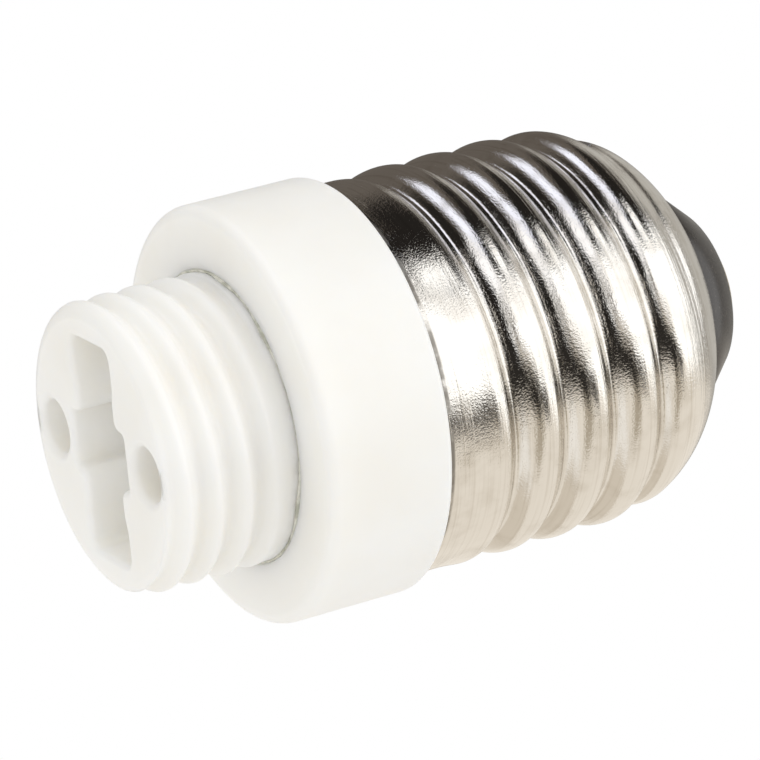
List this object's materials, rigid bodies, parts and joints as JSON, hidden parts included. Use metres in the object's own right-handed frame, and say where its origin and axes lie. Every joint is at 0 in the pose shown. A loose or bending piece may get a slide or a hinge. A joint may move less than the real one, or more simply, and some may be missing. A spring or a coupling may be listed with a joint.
{
  "type": "lamp socket adapter",
  "caption": "Straight lamp adapter: a threaded white socket nose with a slotted pin socket, a round white collar and a nickel-plated screw cap with a black insulated tip.",
  "frame": {"origin": "centre of the socket nose's front face, on which the adapter stands", "axes": "+Z along the common axis from the nose to the screw cap's tip, X along the lamp slot's length"},
  "size_m": [0.0274, 0.0274, 0.0455],
  "materials": {
    "white_moulding": "satin white heat-proof moulding",
    "nickel_plate": "bright nickel plate with a fine grain",
    "black_insulator": "glossy black moulding",
    "spring_contact": "plated spring strip",
    "bonding_compound": "dull grey-green bonding compound",
    "contact_brass": "plated brass",
    "solder": "dull solder",
    "lead_sleeve": "white lead insulation"
  },
  "bodies": {
    "root": {"socket_insert": "white_moulding", "collar_housing": "white_moulding", "screw_shell": "nickel_plate", "tip_insulator": "black_insulator", "contact_clip_a": "spring_contact", "contact_clip_b": "spring_contact", "contact_cover": "white_moulding", "cover_rivets": "spring_contact", "bond_bead": "bonding_compound", "centre_contact": "contact_brass", "tip_solder": "solder", "tip_lead": "lead_sleeve", "shell_lead": "lead_sleeve", "shell_solder": "solder"}
  },
  "joints": []
}
